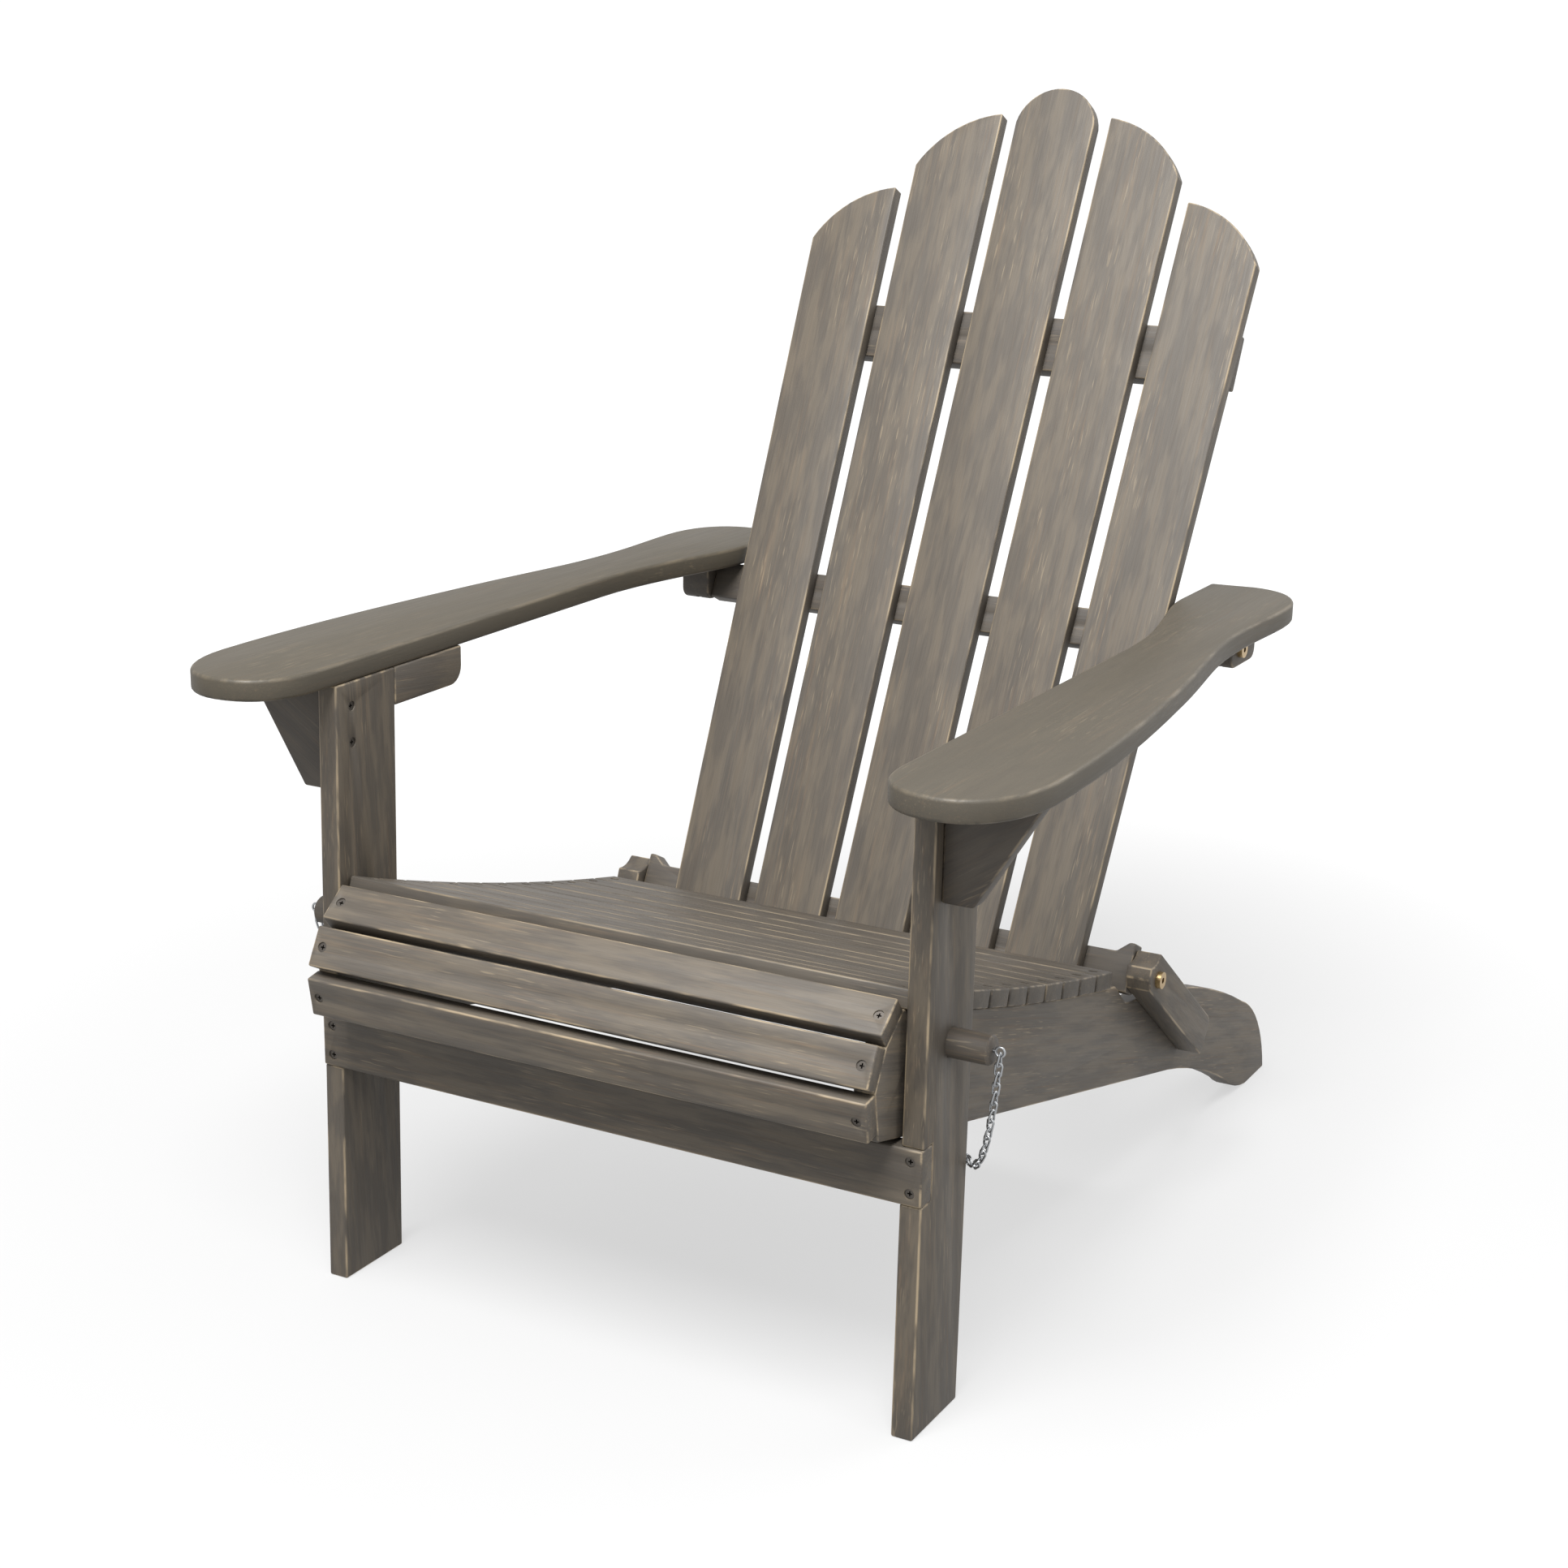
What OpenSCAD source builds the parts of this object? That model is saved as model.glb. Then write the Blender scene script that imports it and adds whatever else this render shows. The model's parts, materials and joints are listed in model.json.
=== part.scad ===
// Folding adirondack chair. Slatted seat and fan back on a rigid front frame,
// locked by two dowel pins that hang on chains. Front at -Y, right arm at +X.

/* [Overall] */
// Length of a seat slat, across the chair
seat_w = 504; // [440:1:620]
// Height of the front legs, up to the arms' undersides
leg_h = 508; // [490:1:620]
// Angle of the back from the vertical
back_lean = 26.6; // [20:0.1:30]

/* [Boards] */
// Thickness of the legs, arms, stringers, rails and stretcher
frame_t = 18; // [15:0.5:22]
// Thickness of the seat, apron and back slats
slat_t = 15; // [12:0.5:18]

/* [Seat] */
// Width of a seat slat
seat_slat_w = 34.6; // [24:0.1:38]
// Gap between two seat slats
seat_slat_gap = 3; // [1.5:0.1:8]
// Height of the stringers' top edge at the front
seat_front_z = 336; // [325:1:350]
// Width of an apron slat
apron_slat_w = 33; // [26:0.5:36]
// Gap between two apron slats, where they lie on the stringers
apron_slat_gap = 0.8; // [0.6:0.1:4]
// How far a seat slat oversails the stringer's outer face
slat_overhang = 3; // [0:0.5:6]

/* [Back] */
// Width of a back slat at its lower end
back_slat_w = 69.5; // [56:0.5:76]
// Growth of a back slat's width, in mm per metre
back_slat_taper = 13.5; // [0:0.5:20]
// Gap between two back slats
back_slat_gap = 15.5; // [8:0.5:20]
// Length of the centre back slat
back_len = 818; // [700:1:900]
// Height of a back rail, along the slats
rail_w = 35; // [28:1:44]

/* [Arms] */
// Width of an arm at its nose
arm_w = 110; // [90:1:130]
// Width of an arm at its waist
arm_waist_w = 60; // [48:1:80]
// How far the arm's nose stands in front of the leg
arm_nose = 73; // [50:1:90]
// Distance from the leg's front to the arm's rear end
arm_reach = 690; // [670:1:740]

/* [Legs] */
// Width of a front leg, front to back
leg_w = 77; // [64:1:90]
// How far the top of a leg stands behind its foot
leg_rake = 10.5; // [0:0.5:20]
// Height of the stretcher board
stretcher_h = 45; // [36:1:60]
// Distance from the leg's outer face to the bracket's tip
bracket_w = 76; // [50:1:84]
// Height of the triangular bracket
bracket_h = 90; // [60:1:110]

/* [Pins and chains] */
// Diameter of a dowel pin
pin_d = 23; // [16:0.5:26]
// How far a dowel pin stands out of the leg
pin_proud = 33; // [20:1:45]
// Wire of the chains and screw eyes
wire_d = 1.8; // [1.4:0.1:2.2]
// Slackness of the hanging chains, as the catenary's parameter
chain_slack = 22; // [20:1:34]

/* [Fasteners] */
// Diameter of a wood screw's head
screw_head_d = 8; // [7:0.5:9]
// Diameter of a wood screw's shank
screw_d = 4; // [3:0.5:4.5]
// Depth that screw heads are sunk below the wood
screw_sink = 1.2; // [0.5:0.1:2]
// Diameter of a pivot bolt
bolt_d = 8; // [6:0.5:9]
// Diameter of a pivot bolt's head
bolt_head_d = 15; // [13:0.5:17]

/* [Hidden] */
$fn = 48;

// Clearances
leg_gap = 5;            // stringer's outer face to leg's inner face
swing_gap = 0.5;        // between faces that slide past each other at a pivot
pin_fit = 0.1;          // dowel pin in its bores, on the radius
bolt_fit = 0.05;        // bolt shank in a threaded insert, on the radius
bore_gap = 0.15;        // screw and bolt shanks in wood, on the radius
bore_over = 0.5;        // screw holes beyond their screws' tips
stretcher_drop = 0.4;   // seat frame's underside to the stretcher's top
arm_drop = 0.8;         // middle rail's corner to the arms' undersides as it swings
pin_short = 1.3;        // locking pin's inner end to the stringer's outer face

// Places across the chair
stringer_out = seat_w / 2 - slat_overhang;
stringer_in = stringer_out - frame_t;
leg_in = stringer_out + leg_gap;
leg_out = leg_in + frame_t;
apron_half = stringer_out;
screw_x = stringer_out - frame_t / 2;

// Seat curve: the stringers' top edge, a parabola that starts at the nose
seat_front_y = 13;
seat_drop = 0.343;
seat_dish = 0.000156;
seat_pitch = seat_slat_w + seat_slat_gap;
seat_count = 11;
function seat_z(y) = seat_front_z - seat_drop * (y - seat_front_y) + seat_dish * pow(y - seat_front_y, 2);
function seat_angle(y) = atan(2 * seat_dish * (y - seat_front_y) - seat_drop);
function seat_y(k) = k == 0
    ? seat_front_y
    : seat_y(k - 1) + seat_pitch * cos(seat_angle(seat_y(k - 1) + seat_pitch / 2));

// Nose: three flats for the apron slats, from the seat curve's front end down
apron_pitch = apron_slat_w + apron_slat_gap;
apron_leans = [-52, -28, 10];
nose_1 = [seat_front_y, seat_front_z] + apron_pitch * [sin(apron_leans[0]), -cos(apron_leans[0])];
nose_2 = nose_1 + apron_pitch * [sin(apron_leans[1]), -cos(apron_leans[1])];
nose_3 = nose_2 + apron_pitch * [sin(apron_leans[2]), -cos(apron_leans[2])];
flats = concat([nose_3, nose_2, nose_1], [for (k = [0:seat_count]) [seat_y(k), seat_z(seat_y(k))]]);
seat_end = flats[len(flats) - 1];

// Stringer: depth below the nose and the long tail that ends in the rear foot
belly_z = 204;
belly_y = 133;
belly_slope = -0.265;
function belly(y) = belly_z + belly_slope * (y - belly_y) + (seat_front_z - 336);
tail_len = 849;
foot_len = 54;
tail_top = [773, 95];
tail_under = [571, 93];

// Back: a plane through the seat's rear, leaning back
back_y = 390;
back_z = 113;
back_foot = 124;        // distance along the back from its foot point to the slats' lower ends
back_top = back_foot + back_len;
rail_depth = slat_t + frame_t / 2;
function back_point(s, depth) = [
    back_y + s * sin(back_lean) + depth * cos(back_lean),
    back_z + s * cos(back_lean) - depth * sin(back_lean)
];
rail_swing = sqrt(pow(rail_w / 2, 2) + pow(frame_t / 2, 2));
lower_s = back_foot + 5.5;
pivot_a = back_point(lower_s, rail_depth);
pivot_b_z = leg_h - rail_swing - arm_drop;
middle_s = (pivot_b_z - back_z + rail_depth * sin(back_lean)) / cos(back_lean);
pivot_b = back_point(middle_s, rail_depth);
upper_rail_down = 248;
upper_s = back_top - upper_rail_down;
upper_rail_more = 17;   // upper rail's height over the others'
upper_rail_w = rail_w + upper_rail_more;

// Edges of the slats at a distance s along the back; the slats widen evenly
function widen(s) = back_slat_taper / 1000 * (s - back_foot);
function slat_left(i, s) = i * (back_slat_w + back_slat_gap) - back_slat_w / 2 + (i - 0.5) * widen(s);
function slat_right(i, s) = slat_left(i, s) + back_slat_w + widen(s);
slat_steps = [0, 27.5, 107];      // how far a slat's inner top corner is below the apex
slat_falls = [0, 55.5, 56];       // drop from a slat's inner top corner to its outer one
crown_bulge = 12;
back_half = slat_right(2, back_top - slat_steps[2] - slat_falls[2]);

// Arms and blocks
arm_inner_rear = back_half - 5;
block_h = 32;
front_block = [leg_w + leg_rake, 180];
rear_block = [pivot_b[0] - 20, pivot_b[0] + 40];
rear_block_in = leg_in - 2;
rear_block_t = 29;
rear_block_h = block_h + 4;
middle_half = rear_block_in - swing_gap;
lower_half = stringer_out - swing_gap;
upper_half = 220;

// Links on the stringers' outer faces
link_t = leg_out - stringer_out;
link_w = 36;
link_angle = -37.3;
link_len = 165;
link_over = 22;

// Stretcher, pins and chains
stretcher_proud = 2;
stretcher_y = leg_rake * 0.42 - stretcher_proud;
stretcher_top = belly(stretcher_y + frame_t) - stretcher_drop;
pin_y = 47;
pin_z = 304;
pin_end = leg_out + pin_proud;
eye_r = 3.6;
eye_stem = 2;
leg_eye_stem = 6;
leg_eye_inset = 5;
eye_stem_d = wire_d + 0.8;
eye_thread = 9;
eye_gap = 0.4;
eye_z = 195;
links = 16;
link_play = 1.2;
chain_link_w = 7.4;
function leg_rear(z) = leg_w + leg_rake * z / leg_h;
pin_eye = [pin_end + eye_stem + eye_r, pin_y, pin_z];
leg_eye = [leg_out - leg_eye_inset, leg_rear(eye_z) + leg_eye_stem + eye_r, eye_z];
chain_rise = 20;
eye_reach = eye_r - wire_d / 2 - eye_gap;
eye_turn = atan2(leg_eye[1] - pin_eye[1], leg_eye[0] - pin_eye[0]);
chain_from = pin_eye - [0, 0, eye_reach];
chain_to = leg_eye
    - eye_reach * [cos(eye_turn) * cos(chain_rise), sin(eye_turn) * cos(chain_rise), sin(chain_rise)];

// The chair's own origin is at the middle of its footprint
row_y = (arm_nose - tail_len) / 2;

stain = "#77705f";
dark_stain = "#6b6459";
steel = "#3c3a38";
zinc = "#c9ccd0";
brass = "#b9985a";

// ---- helpers ----

// Points on a circle's arc from a to b that bulges to the right of the way from a to b
function arc(a, b, bulge, n = 10) =
    let (
        half = norm(b - a) / 2,
        along = (b - a) / (2 * half),
        side = [along[1], -along[0]],
        r = (half * half + bulge * bulge) / (2 * abs(bulge)),
        centre = (a + b) / 2 + side * (bulge - sign(bulge) * r),
        start = atan2(a[1] - centre[1], a[0] - centre[0]),
        turn = 2 * asin(half / r) * sign(bulge)
    )
    [for (k = [0:n]) centre + r * [cos(start + turn * k / n), sin(start + turn * k / n)]];

// Points on a cubic curve with end points a, d and handles b, c
function curve(a, b, c, d, n = 10) = [
    for (k = [0:n])
        let (t = k / n, u = 1 - t)
            u * u * u * a + 3 * u * u * t * b + 3 * u * t * t * c + t * t * t * d
];

function sinh_of(x) = (exp(x) - exp(-x)) / 2;
function cosh_of(x) = (exp(x) + exp(-x)) / 2;
function asinh_of(x) = ln(x + sqrt(x * x + 1));

// Everything is drawn with the leg's front foot at Y = 0 and then centred
module placed() {
    translate([0, row_y, 0]) children();
}

// side is 1 for the chair's right and -1 for its left
module on_side(side) {
    mirror([side < 0 ? 1 : 0, 0, 0]) children();
}

module both_sides() {
    on_side(1) children();
    on_side(-1) children();
}

// A profile in the YZ plane, stretched across the chair from x0 to x1
module across(x0, x1) {
    translate([x0, 0, 0]) rotate([90, 0, 90]) linear_extrude(x1 - x0) children();
}

// A round hole or rod along X
module rod_x(x0, x1, r) {
    translate([x0, 0, 0]) rotate([0, 90, 0]) cylinder(h = x1 - x0, r = r);
}

// A countersunk wood screw that points down Z, with its head's top at the origin
screw_head_t = screw_head_d / 2 - screw_d / 2;
cross_len = 4;
cross_w = 1.2;
cross_depth = 3.2;
module screw(len) {
    difference() {
        union() {
            translate([0, 0, -screw_head_t])
                cylinder(h = screw_head_t, r1 = screw_d / 2, r2 = screw_head_d / 2);
            translate([0, 0, -len]) cylinder(h = len - screw_head_t + 0.01, r = screw_d / 2);
        }
        for (turn = [0, 90])
            translate([0, 0, -cross_depth / 2]) rotate([0, 0, turn])
                cube([cross_w, cross_len, cross_depth], center = true);
    }
}

// The hole that a screw sits in: a recess for the head and a bore for the shank
module screw_hole(len) {
    head_r = screw_head_d / 2 + bore_gap;
    translate([0, 0, -0.01]) cylinder(h = screw_sink + 5, r = head_r);
    translate([0, 0, -screw_head_t]) cylinder(h = screw_head_t, r1 = screw_d / 2 + bore_gap, r2 = head_r);
    translate([0, 0, -len - bore_over]) cylinder(h = len + bore_over, r = screw_d / 2 + bore_gap);
}

// A screw eye whose thread points down Z from the origin, with its ring on a stem above
module screw_eye(stem) {
    translate([0, 0, stem + eye_r]) rotate([90, 0, 0])
        rotate_extrude() translate([eye_r, 0]) circle(d = wire_d, $fn = 16);
    translate([0, 0, -eye_thread]) cylinder(h = eye_thread + stem, d = eye_stem_d);
}

// ---- places that screws share with the wood they hold ----

module on_flat(k) {
    mid = (flats[k] + flats[k + 1]) / 2;
    way = flats[k + 1] - flats[k];
    translate([0, mid[0], mid[1]]) rotate([atan2(way[1], way[0]), 0, 0]) children();
}

seat_screw_len = slat_t - screw_sink + 12;
module at_flat_screws(k) {
    on_flat(k) for (side = [-1, 1]) translate([side * screw_x, 0, slat_t - screw_sink]) children();
}

link_screw_len = frame_t - screw_sink + 14;
module at_link_screws() {
    for (u = [78, 128])
        translate([stringer_in + screw_sink, pivot_a[0], pivot_a[1]])
            rotate([link_angle, 0, 0]) translate([0, u, 3]) rotate([0, -90, 0]) children();
}

back_screw_len = frame_t - screw_sink + 10;
back_screw_step = 18;   // from a slat's middle to each of its two screws
module at_back_screws(s) {
    for (i = [-2:2], step = [-back_screw_step, back_screw_step])
        let (mid = sign(i) * (slat_left(abs(i), s) + slat_right(abs(i), s)) / 2)
            translate([mid + step, s, -slat_t - frame_t + screw_sink]) rotate([180, 0, 0]) children();
}

stretcher_screw_len = frame_t - screw_sink + 30;
stretcher_screw_in = 9.5;
module at_stretcher_screws() {
    for (side = [-1, 1], up = [-1, 1])
        translate([
            side * (leg_out - stretcher_screw_in),
            stretcher_y + screw_sink,
            stretcher_top - stretcher_h / 2 + up * stretcher_h * 0.28
        ])
            rotate([90, 0, 0]) children();
}

bracket_screw_len = frame_t - screw_sink + 28;
bracket_y = 21;
module at_bracket_screws() {
    for (down = [20, 50])
        translate([leg_in + screw_sink, bracket_y + frame_t / 2, leg_h - down]) rotate([0, -90, 0]) children();
}

arm_screw_bite = 12;
module at_front_block_screws() {
    for (y = [112, 158])
        translate([(leg_in + leg_out) / 2, y, leg_h - block_h + screw_sink]) rotate([180, 0, 0]) children();
}
module at_rear_block_screws() {
    for (y = [rear_block[0] + 8, rear_block[1] - 12])
        translate([rear_block_in + rear_block_t / 2, y, leg_h - rear_block_h + screw_sink])
            rotate([180, 0, 0]) children();
}
front_screw_len = block_h - screw_sink + arm_screw_bite;
rear_screw_len = rear_block_h - screw_sink + arm_screw_bite;

module at_pin() {
    translate([0, pin_y, pin_z]) children();
}

// ---- seat frame ----

function stringer_outline() = concat(
    flats,
    [
        seat_end + [18, -4],
        [pivot_a[0] - 15, pivot_a[1] - rail_swing - 1]
    ],
    arc([pivot_a[0] - 9, pivot_a[1] - rail_swing - 3], tail_top, -14),
    arc(tail_top, [tail_len, 0], -16),
    arc([tail_len - foot_len, 0], [735, 25], -4, 5),
    arc([735, 25], tail_under, 5.5, 6),
    [[belly_y, belly(belly_y)], [nose_3[0] + 1, belly(nose_3[0] + 1)]]
);

module stringer() {
    color(stain)
        difference() {
            across(stringer_in, stringer_out) polygon(stringer_outline());
            for (k = [0:len(flats) - 2]) at_flat_screws(k) screw_hole(seat_screw_len);
            at_link_screws() screw_hole(link_screw_len);
            at_pin() rod_x(stringer_in - 1, stringer_out + 1, pin_d / 2 + pin_fit);
        }
}

module slat_on_flat(k, half, width) {
    color(stain)
        difference() {
            on_flat(k) translate([-half, -width / 2, 0]) cube([2 * half, width, slat_t]);
            at_flat_screws(k) screw_hole(seat_screw_len);
        }
}

module seat_slat(i) {
    slat_on_flat(2 + i, seat_w / 2, seat_slat_w);
}

module apron_slat(i) {
    slat_on_flat(3 - i, apron_half, apron_slat_w);
}

module seat_screws() {
    color(steel) for (k = [3:2 + seat_count]) at_flat_screws(k) screw(seat_screw_len);
}

module apron_screws() {
    color(steel) for (k = [0:2]) at_flat_screws(k) screw(seat_screw_len);
}

function link_outline() = concat(
    arc([-8, link_w / 2 + 3], [-link_over, 2], -3, 4),
    [[-19, -8], [-10, 3 - link_w / 2], [link_len, 3 - link_w / 2]],
    arc([link_len + 2, link_w / 2 - 6], [link_len - 7, link_w / 2 + 3], 2, 4)
);

module link() {
    color(stain)
        difference() {
            translate([stringer_out, pivot_a[0], pivot_a[1]])
                rotate([link_angle, 0, 0]) rotate([90, 0, 90]) linear_extrude(link_t) polygon(link_outline());
            at_link_screws() screw_hole(link_screw_len);
            translate([0, pivot_a[0], pivot_a[1]])
                rod_x(stringer_out - 1, leg_out + 1, bolt_d / 2 + bore_gap);
        }
}

module link_screws() {
    color(steel) both_sides() at_link_screws() screw(link_screw_len);
}

// A pivot bolt along X: its head's inner face at x_head, its tip at x_tip
bolt_head_t = 4.5;
key_r = 2.9;
key_depth = 3;
module pivot_bolt(x_head, x_tip) {
    difference() {
        union() {
            rod_x(x_tip, x_head + 1, bolt_d / 2);
            rod_x(x_head, x_head + bolt_head_t, bolt_head_d / 2);
        }
        translate([x_head + bolt_head_t - key_depth, 0, 0])
            rotate([0, 90, 0]) cylinder(h = key_depth + 1, r = key_r, $fn = 6);
    }
}

insert_len = 22;
insert_d = bolt_d + 5;
module lower_pivot_bolts() {
    color(brass)
        both_sides() translate([0, pivot_a[0], pivot_a[1]]) pivot_bolt(leg_out, lower_half - insert_len + 2);
}

// ---- backrest, drawn in the plane of the back: X across, Y up along it, Z forward ----

module on_back() {
    translate([0, back_y, back_z]) rotate([90 - back_lean, 0, 0]) children();
}

centre_crown = 35;
function centre_outline() =
    let (top = back_top - centre_crown)
    concat(
        [[slat_left(0, back_foot), back_foot], [slat_right(0, back_foot), back_foot]],
        arc([slat_right(0, top), top], [slat_left(0, top), top], centre_crown, 20)
    );

function side_outline(i) =
    let (inner = back_top - slat_steps[i], outer = inner - slat_falls[i])
    concat(
        [[slat_left(i, back_foot), back_foot], [slat_right(i, back_foot), back_foot]],
        arc([slat_right(i, outer), outer], [slat_left(i, inner), inner], crown_bulge, 12)
    );

// i counts the slats from the chair's left
module back_slat(i) {
    place = i - 3;
    color(stain)
        on_back() difference() {
            on_side(place < 0 ? -1 : 1) translate([0, 0, -slat_t]) linear_extrude(slat_t)
                polygon(place == 0 ? centre_outline() : side_outline(abs(place)));
            for (s = [lower_s, middle_s, upper_s]) at_back_screws(s) screw_hole(back_screw_len);
        }
}

module insert_pocket(half) {
    both_sides() rod_x(half - insert_len, half + 1, insert_d / 2);
}

module rail_board(half, s, height) {
    translate([-half, s - height / 2, -slat_t - frame_t]) cube([2 * half, height, frame_t]);
}

// The lower rail's ends stand up a little around the pivot bolts
lower_ear = 9;
module rail_lower() {
    top = lower_s + rail_w / 2;
    bottom = lower_s - rail_w / 2;
    color(dark_stain)
        on_back() difference() {
            translate([0, 0, -slat_t - frame_t]) linear_extrude(frame_t) polygon([
                [-lower_half, bottom],
                [lower_half, bottom],
                [lower_half, top + lower_ear],
                [lower_half - 6, top + lower_ear],
                [lower_half - 6 - lower_ear * 1.2, top],
                [-lower_half + 6 + lower_ear * 1.2, top],
                [-lower_half + 6, top + lower_ear],
                [-lower_half, top + lower_ear]
            ]);
            at_back_screws(lower_s) screw_hole(back_screw_len);
            translate([0, lower_s, -rail_depth]) insert_pocket(lower_half);
        }
}

module rail_middle() {
    color(dark_stain)
        on_back() difference() {
            rail_board(middle_half, middle_s, rail_w);
            at_back_screws(middle_s) screw_hole(back_screw_len);
            translate([0, middle_s, -rail_depth]) insert_pocket(middle_half);
        }
}

module rail_upper() {
    color(dark_stain)
        on_back() difference() {
            rail_board(upper_half, upper_s, upper_rail_w);
            at_back_screws(upper_s) screw_hole(back_screw_len);
        }
}

module back_screws() {
    color(steel)
        on_back() for (s = [lower_s, middle_s, upper_s]) at_back_screws(s) screw(back_screw_len);
}

module insert(half) {
    difference() {
        rod_x(half - insert_len, half, insert_d / 2);
        rod_x(half - insert_len - 1, half + 1, bolt_d / 2 + bolt_fit);
    }
}

module pivot_inserts() {
    color(brass)
        on_back() both_sides() {
            translate([0, lower_s, -rail_depth]) insert(lower_half);
            translate([0, middle_s, -rail_depth]) insert(middle_half);
        }
}

// ---- front frame ----

module stretcher_board(grow = 0) {
    translate([-leg_out - grow, stretcher_y, stretcher_top - stretcher_h])
        cube([2 * (leg_out + grow), frame_t, stretcher_h]);
}

module eye_hole() {
    translate([leg_eye[0], leg_rear(eye_z), eye_z])
        rotate([-90, 0, 0]) translate([0, 0, -eye_thread - bore_over])
            cylinder(h = 2 * eye_thread + bore_over, d = eye_stem_d + 2 * bore_gap);
}

module leg() {
    color(stain)
        difference() {
            across(leg_in, leg_out)
                polygon([[0, 0], [leg_w, 0], [leg_w + leg_rake, leg_h], [leg_rake, leg_h]]);
            stretcher_board(1);
            translate([0, -20, 0]) stretcher_board(1);
            at_stretcher_screws() screw_hole(stretcher_screw_len);
            at_bracket_screws() screw_hole(bracket_screw_len);
            at_pin() rod_x(leg_in - 1, leg_out + 1, pin_d / 2 + pin_fit);
            eye_hole();
        }
}

module stretcher() {
    color(stain)
        difference() {
            stretcher_board();
            at_stretcher_screws() screw_hole(stretcher_screw_len);
        }
}

module stretcher_screws() {
    color(steel) at_stretcher_screws() screw(stretcher_screw_len);
}

bracket_foot = 25;
bracket_lip = 8;
module bracket() {
    color(dark_stain)
        difference() {
            translate([leg_out, bracket_y + frame_t, leg_h - bracket_h])
                rotate([90, 0, 0]) linear_extrude(frame_t) polygon([
                    [0, 0],
                    [bracket_foot, 0],
                    [bracket_w, bracket_h - bracket_lip],
                    [bracket_w, bracket_h],
                    [0, bracket_h]
                ]);
            at_bracket_screws() screw_hole(bracket_screw_len);
        }
}

module bracket_screws() {
    color(steel) both_sides() at_bracket_screws() screw(bracket_screw_len);
}

function arm_outline() =
    let (
        out = leg_in + arm_w,
        tip = leg_in + arm_w * 0.48,
        waist = leg_in + arm_waist_w,
        rear = arm_reach - 6,
        heel = arm_reach - 85
    )
    concat(
        [[arm_inner_rear, rear]],
        curve([arm_inner_rear, heel], [arm_inner_rear, heel - 45], [leg_in, heel - 115], [leg_in, heel - 205]),
        curve([leg_in, -15], [leg_in, -48], [leg_in + 18, -arm_nose], [tip, -arm_nose]),
        curve([tip, -arm_nose], [tip + 31, -arm_nose], [out - 2, -45], [out, 5]),
        curve([out, 5], [out + 2, 110], [out - 12, 220], [out - 24, 310]),
        curve([out - 24, 310], [out - 36, 400], [waist, 440], [waist, 520]),
        curve([waist, 520], [waist, 555], [waist + 3, 580], [waist + 3, heel + 10]),
        curve([waist + 3, heel + 10], [waist + 3, heel + 63], [waist - 24, arm_reach], [waist - 52, arm_reach])
    );

module arm() {
    color(stain)
        difference() {
            translate([0, 0, leg_h]) linear_extrude(frame_t) polygon(arm_outline());
            at_front_block_screws() screw_hole(front_screw_len);
            at_rear_block_screws() screw_hole(rear_screw_len);
        }
}

module front_block() {
    bottom = leg_h - block_h;
    color(stain)
        difference() {
            across(leg_in, leg_out) polygon(concat(
                [[leg_rear(leg_h), leg_h], [leg_rear(bottom), bottom]],
                arc([front_block[1] - 15, bottom], [front_block[1], bottom + 15], 4.4, 6),
                [[front_block[1], leg_h]]
            ));
            at_front_block_screws() screw_hole(front_screw_len);
        }
}

module rear_block() {
    bottom = leg_h - rear_block_h;
    corner = 10;
    bulge = corner * (1 - sqrt(0.5)) + 0.01;
    color(stain)
        difference() {
            across(rear_block_in, rear_block_in + rear_block_t) polygon(concat(
                [[rear_block[1], leg_h], [rear_block[0], leg_h]],
                arc([rear_block[0], bottom + corner], [rear_block[0] + corner, bottom], bulge, 6),
                arc([rear_block[1] - corner, bottom], [rear_block[1], bottom + corner], bulge, 6)
            ));
            at_rear_block_screws() screw_hole(rear_screw_len);
            translate([0, pivot_b[0], pivot_b[1]])
                rod_x(rear_block_in - 1, rear_block_in + rear_block_t + 1, bolt_d / 2 + bore_gap);
        }
}

module arm_screws() {
    color(steel)
        both_sides() {
            at_front_block_screws() screw(front_screw_len);
            at_rear_block_screws() screw(rear_screw_len);
        }
}

module upper_pivot_bolts() {
    color(brass)
        both_sides() translate([0, pivot_b[0], pivot_b[1]])
            pivot_bolt(rear_block_in + rear_block_t, middle_half - insert_len + 2);
}

module chain_eyes() {
    color(zinc)
        both_sides() translate([leg_eye[0], leg_rear(eye_z), eye_z])
            rotate([-90, 0, 0]) rotate([0, 0, chain_rise]) screw_eye(leg_eye_stem);
}

// One chain link: a flat ring whose two inner ends are pitch apart along X
module chain_link(pitch) {
    inner_r = chain_link_w / 2 - wire_d;
    half = pitch / 2 + link_play / 2 - inner_r;
    translate([0, 0, -wire_d / 2]) linear_extrude(wire_d) difference() {
        union() {
            square([2 * half, chain_link_w], center = true);
            for (end = [-1, 1]) translate([end * half, 0]) circle(r = chain_link_w / 2, $fn = 20);
        }
        square([2 * half, 2 * inner_r], center = true);
        for (end = [-1, 1]) translate([end * half, 0]) circle(r = inner_r, $fn = 20);
    }
}

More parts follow.
